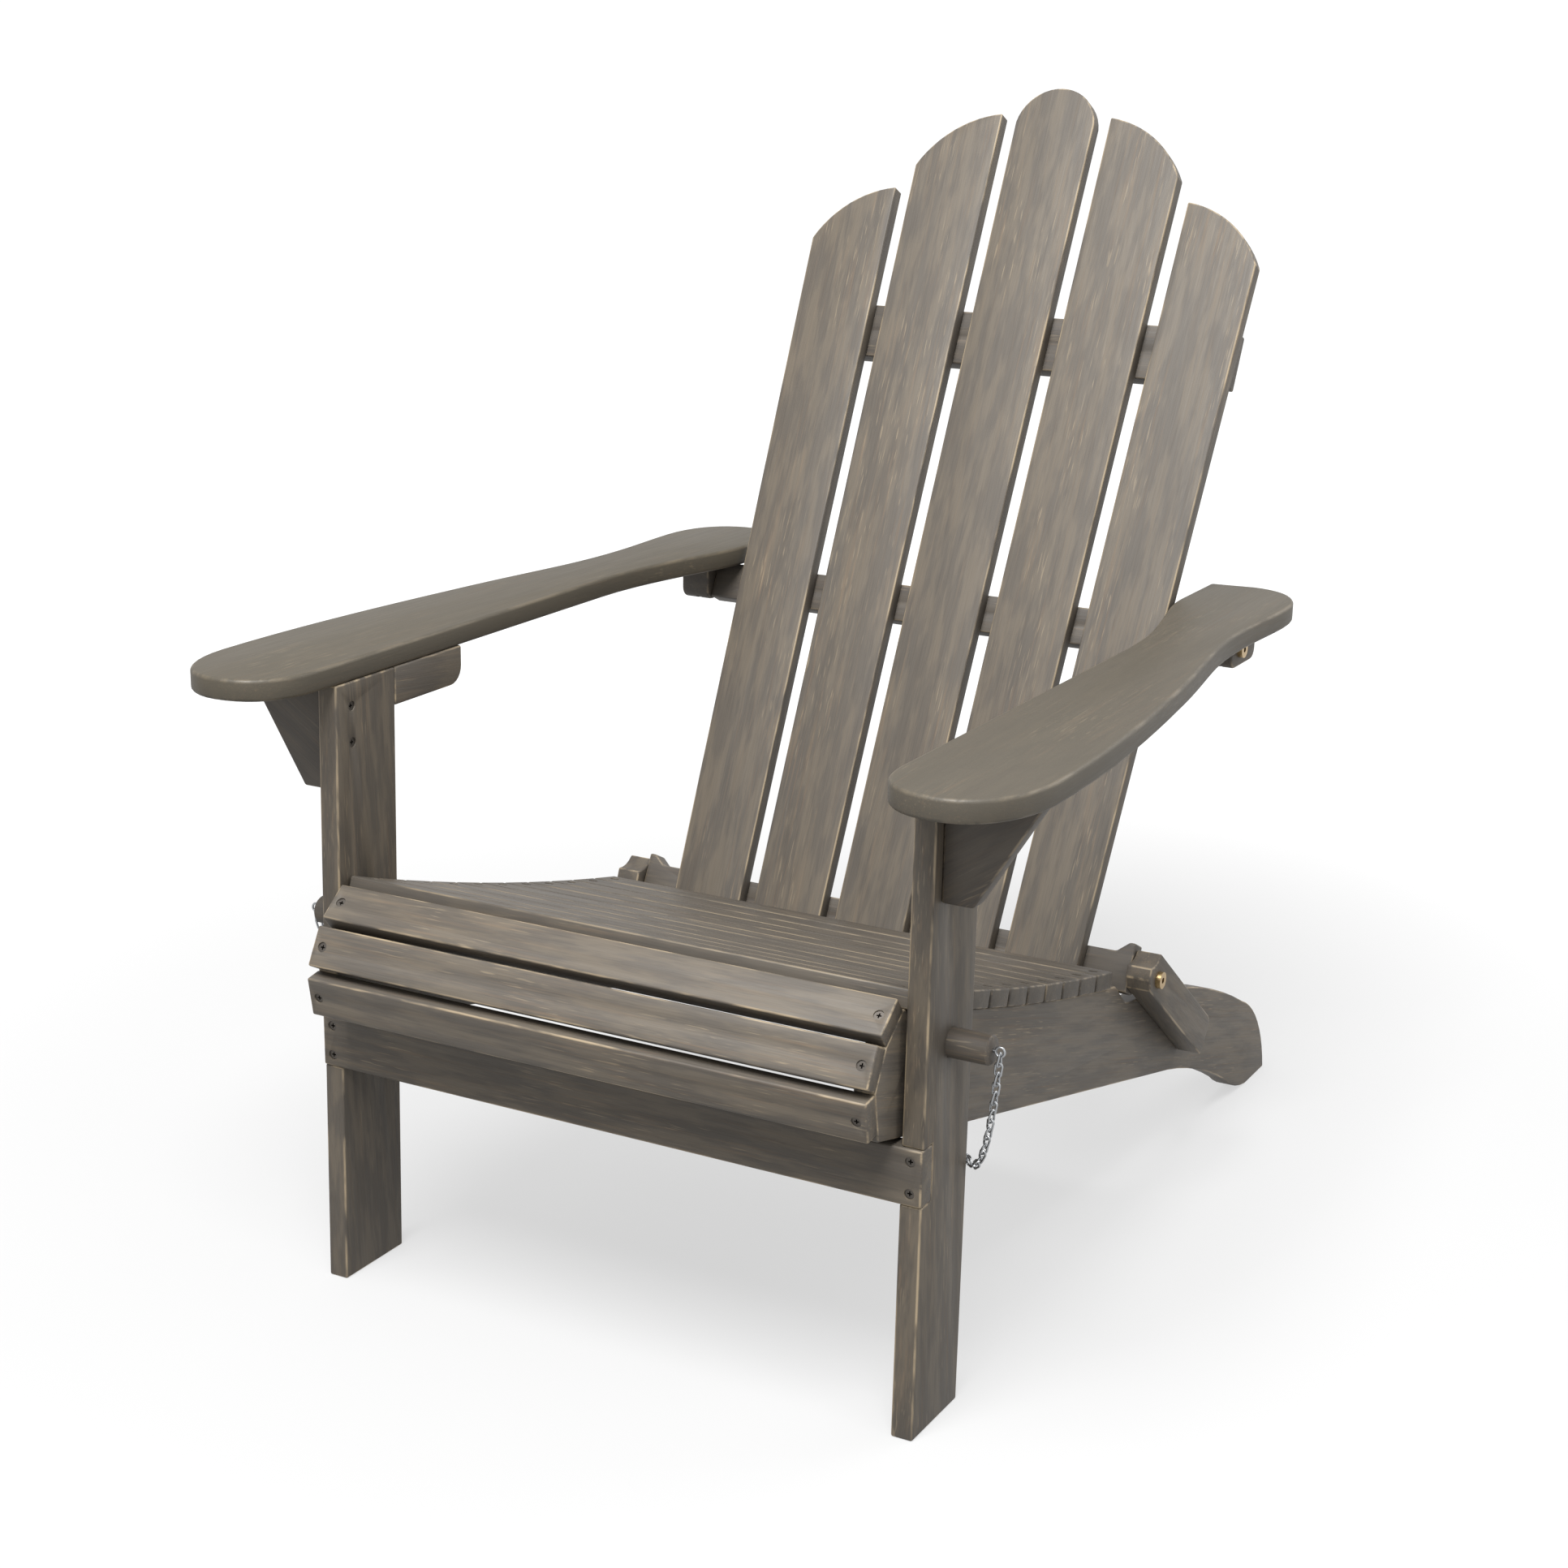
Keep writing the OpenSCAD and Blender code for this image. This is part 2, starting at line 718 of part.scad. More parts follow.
// The chain hangs in a catenary from the pin's eye to the leg's eye
chain_way = [chain_to[0] - chain_from[0], chain_to[1] - chain_from[1]];
chain_span = norm(chain_way);
chain_drop = chain_from[2] - chain_to[2];
chain_low = chain_span / 2
    + chain_slack * asinh_of(chain_drop / (2 * chain_slack * sinh_of(chain_span / (2 * chain_slack))));
function chain_h(s) = chain_low + chain_slack * asinh_of(s / chain_slack - sinh_of(chain_low / chain_slack));
function chain_z(h) = chain_from[2]
    + chain_slack * (cosh_of((h - chain_low) / chain_slack) - cosh_of(chain_low / chain_slack));
chain_len = chain_slack
    * (sinh_of(chain_low / chain_slack) + sinh_of((chain_span - chain_low) / chain_slack));
chain_pitch = chain_len / links;
chain_turn = atan2(chain_way[1], chain_way[0]);
function chain_roll(k) = (chain_turn - 180) * (1 - k / (links - 1)) + 90 * k;

module chain() {
    color(zinc)
        for (k = [0:links - 1])
            let (
                h0 = chain_h(k * chain_pitch),
                h1 = chain_h((k + 1) * chain_pitch),
                mid_h = (h0 + h1) / 2,
                mid_z = (chain_z(h0) + chain_z(h1)) / 2,
                pitch_angle = atan2(chain_z(h1) - chain_z(h0), h1 - h0)
            )
                translate([
                    chain_from[0] + chain_way[0] * mid_h / chain_span,
                    chain_from[1] + chain_way[1] * mid_h / chain_span,
                    mid_z
                ])
                    rotate([0, -pitch_angle, chain_turn])
                        rotate([chain_roll(k), 0, 0]) chain_link(chain_pitch);
}

// ---- locking pins ----

module pin() {
    chamfer = 1.5;
    inner = stringer_out + pin_short;
    color(dark_stain)
        difference() {
            at_pin() union() {
                rod_x(inner, pin_end - chamfer, pin_d / 2);
                translate([pin_end - chamfer, 0, 0]) rotate([0, 90, 0])
                    cylinder(h = chamfer, r1 = pin_d / 2, r2 = pin_d / 2 - chamfer);
            }
            at_pin() rod_x(pin_end - eye_thread - 0.5, pin_end + 1, eye_stem_d / 2 + bore_gap);
        }
}

module pin_eye() {
    color(zinc)
        translate([pin_end, pin_y, pin_z]) rotate([0, 90, 0]) screw_eye(eye_stem);
}

// ---- nodes ----

placed() on_side(-1) stringer();  // stringer_left
placed() on_side(1) stringer();  // stringer_right
for (i = [1:seat_count]) placed() seat_slat(i);
for (i = [1:3]) placed() apron_slat(i);
placed() on_side(-1) link();  // link_left
placed() on_side(1) link();  // link_right
placed() seat_screws();
placed() apron_screws();
placed() link_screws();
placed() lower_pivot_bolts();
for (i = [1:5]) placed() back_slat(i);
placed() rail_lower();
placed() rail_middle();
placed() rail_upper();
placed() back_screws();
placed() pivot_inserts();
placed() on_side(-1) leg();  // leg_left
placed() on_side(1) leg();  // leg_right
placed() stretcher();
placed() stretcher_screws();
placed() on_side(-1) bracket();  // bracket_left
placed() on_side(1) bracket();  // bracket_right
placed() bracket_screws();
placed() on_side(-1) arm();  // arm_left
placed() on_side(1) arm();  // arm_right
placed() on_side(-1) front_block();  // front_block_left
placed() on_side(1) front_block();  // front_block_right
placed() on_side(-1) rear_block();  // rear_block_left
placed() on_side(1) rear_block();  // rear_block_right
placed() arm_screws();
placed() upper_pivot_bolts();
placed() chain_eyes();
placed() on_side(-1) chain();  // chain_left
placed() on_side(1) chain();  // chain_right
placed() on_side(-1) pin();  // pin_left
placed() on_side(1) pin();  // pin_right
placed() on_side(-1) pin_eye();  // pin_eye_left
placed() on_side(1) pin_eye();  // pin_eye_right
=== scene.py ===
import json
import math
import random
import zlib

import bmesh
import bpy
from mathutils import Matrix, Vector


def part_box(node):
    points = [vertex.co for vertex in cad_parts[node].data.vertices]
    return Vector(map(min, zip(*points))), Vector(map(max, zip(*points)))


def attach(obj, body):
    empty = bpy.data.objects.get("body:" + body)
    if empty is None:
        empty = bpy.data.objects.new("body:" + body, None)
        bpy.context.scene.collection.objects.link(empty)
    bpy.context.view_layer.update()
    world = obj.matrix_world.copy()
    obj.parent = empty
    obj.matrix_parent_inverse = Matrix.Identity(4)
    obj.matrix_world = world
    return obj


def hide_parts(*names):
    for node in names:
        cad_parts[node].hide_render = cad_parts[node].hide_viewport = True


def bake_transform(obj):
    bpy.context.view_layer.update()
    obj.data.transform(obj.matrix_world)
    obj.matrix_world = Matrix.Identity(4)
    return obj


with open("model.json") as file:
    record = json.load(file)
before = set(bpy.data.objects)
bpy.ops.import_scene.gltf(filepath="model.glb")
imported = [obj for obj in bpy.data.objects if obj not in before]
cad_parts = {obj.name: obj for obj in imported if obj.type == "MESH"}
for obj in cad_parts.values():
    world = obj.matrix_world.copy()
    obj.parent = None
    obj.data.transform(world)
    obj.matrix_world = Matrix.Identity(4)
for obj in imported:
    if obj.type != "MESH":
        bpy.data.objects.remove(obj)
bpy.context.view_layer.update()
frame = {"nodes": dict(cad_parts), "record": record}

bl_info = {
    "name": "Folding Adirondack Chair",
    "version": (1, 0, 0),
    "blender": (4, 5, 0),
    "location": "View3D > Sidebar > Chair",
    "description": "Stained boards, bolts, pins and chains of a folding garden chair",
    "category": "Object",
}

SEAT_BOARDS = (
    ["stringer_left", "stringer_right", "link_left", "link_right"]
    + [f"seat_slat_{i}" for i in range(1, 12)]
    + [f"apron_slat_{i}" for i in range(1, 4)]
)
BACK_BOARDS = [f"back_slat_{i}" for i in range(1, 6)] + ["rail_lower", "rail_middle", "rail_upper"]
FRONT_BOARDS = ["leg_left", "leg_right", "stretcher", "bracket_left", "bracket_right"]
ARMS = ["arm_left", "arm_right"]
ARM_BLOCKS = [
    "front_block_left",
    "front_block_right",
    "rear_block_left",
    "rear_block_right",
]
# boards that lie in shadow and get a darker copy of the stain as painted shade
PAINTED_SHADE_BOARDS = {
    "rail_lower",
    "rail_middle",
    "rail_upper",
    "bracket_left",
    "bracket_right",
    "rear_block_left",
    "rear_block_right",
    "pin_left",
    "pin_right",
}
SCREWS = [
    "seat_screws",
    "apron_screws",
    "link_screws",
    "back_screws",
    "stretcher_screws",
    "bracket_screws",
    "arm_screws",
]
PIVOT_METAL = ["lower_pivot_bolts", "upper_pivot_bolts", "pivot_inserts"]
EYES = ["chain_eyes", "pin_eye_left", "pin_eye_right"]

FLAT_FACE = math.radians(0.5)  # faces closer than this lie in one plane
SHARP_EDGE = math.radians(22)  # edges that turn more than this are cut edges
SMOOTH_EDGE = math.radians(38)  # edges that turn less than this are shaded smooth
HOLE_SIZE = 0.03  # a ring of sharp edges smaller than this is a screw hole
SMALL_FACE = 4e-4  # a face smaller than this in square metres belongs to a round
WELD = 2e-6  # corners closer than this are one corner
FACE_WEAR = 0.12  # edge wear that reaches a board's flat faces
OUTLINE_STEPS, RIM_STEPS = 3, 2  # segments of the rounding on outlines and hole rims
LOG_SPAN = (2.0, 40.0)  # where in the log a board may be cut, in metres
AXIS_START = (0.31, 0.52, 0.79)  # a direction that no board is square to
AXIS_STEPS = 60  # rounds of power iteration towards a board's long axis
ALONG_X = 0.98  # a long axis closer than this to X is taken as X

RING_END = 0.985  # share of a ring's reach that counts as its end
LINK_BEND = 1.55  # bend radius of a link's ends, in wire diameters
LINK_STEPS = 14  # segments round a link
WIRE_SIDES = 8  # segments round its wire

# The wood's noises: scale along, across and through the board per metre, detail, roughness
CLOUD = ((1.3, 14.0, 14.0), 3.0, 0.5)
BAND = ((2.4, 60.0, 60.0), 3.0, 0.6)
STREAK = ((10.0, 420.0, 420.0), 3.0, 0.6)
THREAD = ((22.0, 1100.0, 1100.0), 2.0, 0.5)
DASH = ((38.0, 700.0, 700.0), 1.0, 0.5)
PATCH = ((6.0, 26.0, 26.0), 2.0, 0.5)
RUB = ((14.0, 90.0, 90.0), 3.0, 0.6)

# The platings: roughness where clean and share of dull patches
SCREW_FINISH = (0.38, 0.5)
BOLT_FINISH = (0.24, 0.4)
CHAIN_FINISH = (0.2, 0.35)
DULLED = 0.45  # colour of a dull patch, as a share of the clean colour

FLOOR_SIZE = 40
NEAR_GLOW, FAR_GLOW = 0.7, 2.2  # radii between which the floor's painted light rises, from a painted shadow under the chair to full brightness away from it
SKY = 1.05
LIGHTS = {  # place, diameter and power
    "key": ((0.52, -2.95, 5.6), 3.6, 1020),
    "fill": ((3.6, -0.8, 2.0), 2.4, 30),
    "back": ((2.4, 3.0, 3.0), 3.0, 90),
}
LIGHT_AIM = Vector((0, 0, 0.45))
AIM_BEHIND, AIM_ABOVE = 0.25, 0.05  # where the camera looks, from the first seat slat


def body_of(node):
    """The name of the moving body that holds a node."""
    bodies = frame["record"]["behaviour"]["bodies"]
    return next(body for body, nodes in bodies.items() if node in nodes)


# ---- shaders ----


class Wire:
    """A socket's output that takes part in Python arithmetic."""

    def __init__(self, graph, socket):
        self.graph = graph
        self.socket = socket

    def maths(self, operation, *values):
        """A maths node on these values."""
        return self.graph.add("ShaderNodeMath", {"operation": operation}, dict(enumerate(values)))

    def __add__(self, other):
        return self.maths("ADD", self, other)

    def __radd__(self, other):
        return self.maths("ADD", other, self)

    def __sub__(self, other):
        return self.maths("SUBTRACT", self, other)

    def __mul__(self, other):
        return self.maths("MULTIPLY", self, other)

    def __rmul__(self, other):
        return self.maths("MULTIPLY", other, self)


class Graph:
    """A material's node tree, built from Python expressions."""

    def __init__(self, name):
        self.material = bpy.data.materials.new(name)
        self.material.use_nodes = True
        self.tree = self.material.node_tree
        self.shader = self.tree.nodes["Principled BSDF"]

    def find(self, sockets, key):
        """A socket by its number, identifier or name."""
        if isinstance(key, int):
            return sockets[key]
        return next(s for s in sockets if key in (s.identifier, s.name))

    def join(self, socket, value):
        """Links a wire to a socket, or sets the socket's own value."""
        if isinstance(value, Wire):
            self.tree.links.new(value.socket, socket)
        else:
            socket.default_value = value

    def add(self, kind, settings, values, output=0):
        """One node: its settings first, then its sockets' values or links."""
        node = self.tree.nodes.new(kind)
        for name, value in settings.items():
            setattr(node, name, value)
        for key, value in values.items():
            self.join(self.find(node.inputs, key), value)
        return Wire(self, self.find(node.outputs, output))

    def attribute(self, name, output="Vector"):
        """A named attribute of the mesh."""
        return self.add("ShaderNodeAttribute", {"attribute_name": name}, {}, output)

    def stretch(self, vector, scale):
        """A vector with each of its parts scaled."""
        return self.add("ShaderNodeVectorMath", {"operation": "MULTIPLY"}, {0: vector, 1: scale})

    def noise(self, vector, scale, detail=2.0, roughness=0.5):
        """Noise from 0 to 1 on a vector that is stretched by scale."""
        where = self.stretch(vector, scale)
        values = {"Vector": where, "Scale": 1.0, "Detail": detail, "Roughness": roughness}
        return self.add("ShaderNodeTexNoise", {}, values, "Fac")

    def between(self, value, low, high):
        """0 below low, 1 above high, with a smooth rise."""
        values = {"Value": value, "From Min": low, "From Max": high}
        return self.add("ShaderNodeMapRange", {"interpolation_type": "SMOOTHSTEP"}, values)

    def blend(self, factor, first, second):
        """The first colour at factor 0, the second at factor 1."""
        settings = {"data_type": "RGBA"}
        values = {"Factor_Float": factor, "A_Color": first, "B_Color": second}
        return self.add("ShaderNodeMix", settings, values, "Result_Color")

    def shade(self, **values):
        """Sets the shader's own sockets, named with underscores for spaces."""
        for name, value in values.items():
            self.join(self.shader.inputs[name.replace("_", " ")], value)

    def bump(self, height, distance, strength):
        """A normal that follows a height."""
        values = {"Height": height, "Distance": distance, "Strength": strength}
        return self.add("ShaderNodeBump", {}, values, "Normal")


def opaque(tint):
    """A colour with full alpha."""
    return (*tint, 1.0)


def stained_wood(name, stain, figure, edge_wear, chair):
    """Grey-brown stained wood: streaks and flecks along the board, rubbed pale at its edges."""
    graph = Graph(name)
    grain = graph.attribute("grain")
    worn = graph.attribute("wear", "Fac")
    cloud = graph.noise(grain, *CLOUD)
    band = graph.noise(grain, *BAND)
    streak = graph.noise(grain, *STREAK)
    thread = graph.noise(grain, *THREAD)
    dash = graph.noise(grain, *DASH)
    patch = graph.noise(grain, *PATCH)
    cool = graph.between(cloud, 0.35, 0.65) * (chair.mottle * figure)
    base = graph.blend(cool, opaque(stain), opaque(chair.cool_stain))
    deep = graph.between(band, 0.45, 0.7) * (0.22 * figure)
    base = graph.blend(deep, base, opaque(chair.deep_stain))
    warm = graph.between(streak, 0.5, 0.74) * (0.35 + 0.65 * graph.between(patch, 0.4, 0.6))
    base = graph.blend(warm * (chair.streaks * figure), base, opaque(chair.warm_streak))
    pores = graph.between(thread, 0.4, 0.75) * (0.35 * figure)
    base = graph.blend(pores, base, opaque(chair.pore))
    flecks = graph.between(dash, 0.62, 0.72) * graph.between(patch, 0.46, 0.62)
    base = graph.blend(flecks * (chair.flecks * figure), base, opaque(chair.rubbed))
    edge = worn * graph.between(graph.noise(grain, *RUB), 0.4, 0.62)
    base = graph.blend(edge * edge_wear, base, opaque(chair.rubbed))
    relief = thread * 0.5 + streak * 0.6 + dash * 0.2
    graph.shade(
        Base_Color=base,
        Roughness=0.5 + 0.2 * streak - 0.12 * edge,
        Normal=graph.bump(relief, 0.0004, 0.3),
        Specular_IOR_Level=0.32,
    )
    return graph.material


def plated_metal(name, tint, rough, dull):
    """Plated metal with a slightly uneven, handled surface."""
    graph = Graph(name)
    place = graph.add("ShaderNodeTexCoord", {}, {}, "Object")
    cloud = graph.noise(place, (260.0, 260.0, 260.0), 3.0)
    speck = graph.noise(place, (1400.0, 1400.0, 1400.0), 2.0)
    graph.shade(
        Base_Color=graph.blend(cloud * dull, opaque(tint), opaque([c * DULLED for c in tint])),
        Metallic=1.0,
        Roughness=rough + 0.2 * cloud,
        Normal=graph.bump(speck, 0.00005, 0.3),
    )
    return graph.material


def plain_floor(chair):
    """A pale floor that glows with painted light: dim under the chair as a painted shadow, rising
    away from the chair.
    """
    graph = Graph("pale_floor")
    place = graph.add("ShaderNodeTexCoord", {}, {}, "Object")
    cloud = graph.noise(place, (1.5, 1.5, 1.5), 2.0)
    tint = graph.blend(cloud * 0.3, opaque(chair.floor), opaque([c * 0.97 for c in chair.floor]))
    radius = graph.add("ShaderNodeVectorMath", {"operation": "LENGTH"}, {0: place}, "Value")
    # painted light: the floor's glow rises from a painted shadow near the chair to full brightness
    # away from it
    far = graph.between(radius, NEAR_GLOW, FAR_GLOW)
    glow = graph.blend(far, opaque(chair.near_glow_painted_shadow), opaque(chair.far_glow_painted_light))
    graph.shade(
        Base_Color=tint,
        Roughness=0.9,
        Specular_IOR_Level=0.0,
        Emission_Color=glow,
        Emission_Strength=1.0,
    )
    return graph.material


def material(name, maker, *details):
    """A material by its name, made the first time that it is asked for."""
    return bpy.data.materials.get(name) or maker(name, *details)


def wood_for(node, chair):
    """A board's wood: its stain, with darker copies of it as painted shade on some boards, the
    strength of its figure and the share of its edge wear.
    """
    # painted shade: the rails, brackets, rear blocks and pins get a darker copy of the stain
    if node in PAINTED_SHADE_BOARDS:
        name, stain, figure, rub = "shaded_boards", chair.painted_shade_stain, 0.8, 0.5
    # the arms get a darker olive stain: partly their own tone, partly painted shade that keeps the
    # brightly lit arm tops dark
    elif node in ARMS:
        name, stain, figure, rub = "arm_boards", chair.arm_stain_and_shade, 0.45, 0.15
    # painted shade: the seat slats, shaded by the back and arms, get a darker copy of the stain
    elif node.startswith("seat_slat"):
        name, stain, figure, rub = "seat_boards", chair.painted_shade_seat_stain, 0.8, 0.5
    # the legs and stretcher get a darker stain: partly their own darker wood, partly painted shade
    # under the seat
    elif node in FRONT_BOARDS:
        name, stain, figure, rub = "leg_boards", chair.leg_stain_and_shade, 0.8, 1.0
    else:
        name, stain, figure, rub = "stained_boards", chair.stain, 1.0, 1.0
    return material(name, stained_wood, stain, figure, chair.edge_wear * rub, chair)


# ---- boards ----


def main_axes(bm):
    """A board's own length, width and thickness directions, from where its faces lie."""
    centre = Vector()
    total = 0.0
    for face in bm.faces:
        area = face.calc_area()
        centre += face.calc_center_median() * area
        total += area
    centre /= total
    spread = Matrix(((0,) * 3,) * 3)
    for vert in bm.verts:
        weight = sum(face.calc_area() for face in vert.link_faces)
        arm = vert.co - centre
        for i in range(3):
            for j in range(3):
                spread[i][j] += weight * arm[i] * arm[j]
    length = Vector(AXIS_START)
    for _ in range(AXIS_STEPS):
        length = (spread @ length).normalized()
    if abs(length.x) > ALONG_X:
        length = Vector((1, 0, 0))
    widest = max(bm.faces, key=lambda face: face.calc_area()).normal.copy()
    thick = (widest - length * widest.dot(length)).normalized()
    return centre, length, thick.cross(length), thick


def cut_edges(bm):
    """The sharp edges of a board's outline, and those where its screw holes break its surface."""
    sharp = [e for e in bm.edges if len(e.link_faces) == 2 and e.calc_face_angle(0.0) > SHARP_EDGE]
    left = set(sharp)
    outline, rims = [], []
    while left:
        ring = [left.pop()]
        for edge in ring:
            near = {e for v in edge.verts for e in v.link_edges} & left
            left -= near
            ring.extend(near)
        corners = [v.co for e in ring for v in e.verts]
        size = max(max(c[i] for c in corners) - min(c[i] for c in corners) for i in range(3))
        if size > HOLE_SIZE:
            outline.extend(ring)
        elif any(face.calc_area() > HOLE_SIZE**2 for edge in ring for face in edge.link_faces):
            rims.extend(ring)
    return outline, rims


def worn_board(node, radius, chair):
    """A board in the CAD node's exact shape, with rounded edges, grain and edge wear."""
    bm = bmesh.new()
    bm.from_mesh(frame["nodes"][node].data)
    bmesh.ops.remove_doubles(bm, verts=bm.verts, dist=WELD)
    bmesh.ops.dissolve_limit(bm, angle_limit=FLAT_FACE, verts=bm.verts, edges=bm.edges)
    centre, *axes = main_axes(bm)
    rounded = set()
    widths = (radius, chair.rim_round)
    for edges, width, steps in zip(cut_edges(bm), widths, (OUTLINE_STEPS, RIM_STEPS)):
        rounds = bmesh.ops.bevel(
            bm,
            geom=[edge for edge in edges if edge.is_valid],
            offset=width,
            offset_type="OFFSET",
            affect="EDGES",
            segments=steps,
            profile=0.5,
            material=-1,
            clamp_overlap=True,
        )
        rounded.update(rounds["faces"])
    grain = bm.verts.layers.float_vector.new("grain")
    wear = bm.verts.layers.float.new("wear")
    dice = random.Random(zlib.crc32(node.encode()))
    log = Vector([dice.uniform(*LOG_SPAN) for _ in range(3)])
    for vert in bm.verts:
        arm = vert.co - centre
        vert[grain] = Vector([arm.dot(axis) for axis in axes]) + log
        vert[wear] = 1.0 if all(face in rounded for face in vert.link_faces) else FACE_WEAR
    for face in bm.faces:
        face.smooth = face in rounded or face.calc_area() < SMALL_FACE
    return finish_piece(bm, f"board_{node}", wood_for(node, chair))


def finish_piece(bm, name, look):
    """An object with this shape and material, linked to the scene."""
    mesh = bpy.data.meshes.new(name)
    bm.to_mesh(mesh)
    bm.free()
    mesh.set_sharp_from_angle(angle=SMOOTH_EDGE)
    mesh.materials.append(look)
    piece = bpy.data.objects.new(name, mesh)
    bpy.context.scene.collection.objects.link(piece)
    return piece


def set_boards(nodes, radius, chair):
    """Puts a worn board in the place of each of these CAD nodes."""
    for node in nodes:
        piece = worn_board(node, radius, chair)
        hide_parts(node)
        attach(piece, body_of(node))


# ---- chains ----


def loose_parts(bm):
    """The corners of each loose part of a mesh, sorted by place."""
    left = set(bm.verts)
    while left:
        part = [left.pop()]
        for vert in part:
            near = {e.other_vert(vert) for e in vert.link_edges} & left
            left -= near
            part.extend(near)
        corners = [vert.co.copy() for vert in part]
        yield sorted(corners, key=lambda corner: tuple(round(value, 7) for value in corner))


def summed_along(guide, vectors):
    """The direction of the vectors' sum, with each turned to the guide's side first."""
    turned = (v * (1 if v.dot(guide) > 0 else -1) for v in vectors)
    return sum(turned, Vector()).normalized()


def ring_frame(corners):
    """The centre, half length, long axis and normal of one flat oval ring."""
    centre = sum(corners, Vector()) / len(corners)
    arms = [corner - centre for corner in corners]
    far = max(arms, key=lambda arm: arm.length)
    length = summed_along(far, [arm for arm in arms if arm.length > far.length * RING_END])
    crosses = [length.cross(arm) for arm in arms]
    normal = summed_along(max(crosses, key=lambda cross: cross.length), crosses)
    half = max(abs(arm.dot(length)) for arm in arms)
    return centre, half, length, normal


def oval_ring(bm, place, half, wire, twist):
    """A chain link of round wire in the XY plane of place, long along X."""
    bend = wire * LINK_BEND
    made = bmesh.new()
    start = math.radians(90 + 180 / LINK_STEPS)
    turn = Matrix.Rotation(start, 4, "Z") @ Matrix.Translation((bend, 0, 0))
    bmesh.ops.create_circle(
        made,
        segments=WIRE_SIDES,
        radius=wire / 2,
        matrix=turn @ Matrix.Rotation(math.pi / 2, 4, "X"),
    )
    bmesh.ops.spin(
        made,
        geom=made.verts[:] + made.edges[:],
        cent=(0, 0, 0),
        axis=(0, 0, 1),
        dvec=(0, 0, 0),
        angle=math.tau,
        steps=LINK_STEPS,
        use_merge=True,
    )
    stretch = half - bend - wire / 2
    for vert in made.verts:
        vert.co.x += math.copysign(stretch, vert.co.x)
        vert.co.rotate(Matrix.Rotation(twist * vert.co.x / half, 3, "X"))
    bmesh.ops.recalc_face_normals(made, faces=made.faces)
    bmesh.ops.transform(made, matrix=place, verts=made.verts)
    for face in made.faces:
        face.smooth = True
    mesh = bpy.data.meshes.new("one_link")
    made.to_mesh(mesh)
    made.free()
    bm.from_mesh(mesh)
    bpy.data.meshes.remove(mesh)


def hung_chain(side, chair):
    """The retaining chain of one side: round wire links where the CAD links lie."""
    node = f"chain_{side}"
    source = bmesh.new()
    source.from_mesh(frame["nodes"][node].data)
    bmesh.ops.remove_doubles(source, verts=source.verts, dist=WELD)
    bm = bmesh.new()
    for corners in sorted(loose_parts(source), key=lambda part: -max(c.z for c in part)):
        centre, half, length, normal = ring_frame(corners)
        axes = Matrix((length, normal.cross(length), normal)).transposed()
        place = Matrix.Translation(centre) @ axes.to_4x4()
        oval_ring(bm, place, half, chair.wire, chair.link_twist)
    source.free()
    look = material("chain_plating", plated_metal, chair.zinc, *CHAIN_FINISH)
    return finish_piece(bm, f"retaining_chain_{side}", look)


# ---- settings ----


def colour(name, text, default):
    return bpy.props.FloatVectorProperty(
        name=name, description=text, default=default, subtype="COLOR", size=3, min=0, max=1
    )


def length(name, text, default):
    return bpy.props.FloatProperty(
        name=name, description=text, default=default, unit="LENGTH", min=0
    )


def share(name, text, default):
    return bpy.props.FloatProperty(
        name=name, description=text, default=default, subtype="FACTOR", min=0, max=1
    )


def angle(name, text, degrees):
    return bpy.props.FloatProperty(
        name=name, description=text, default=math.radians(degrees), subtype="ANGLE", unit="ROTATION"
    )


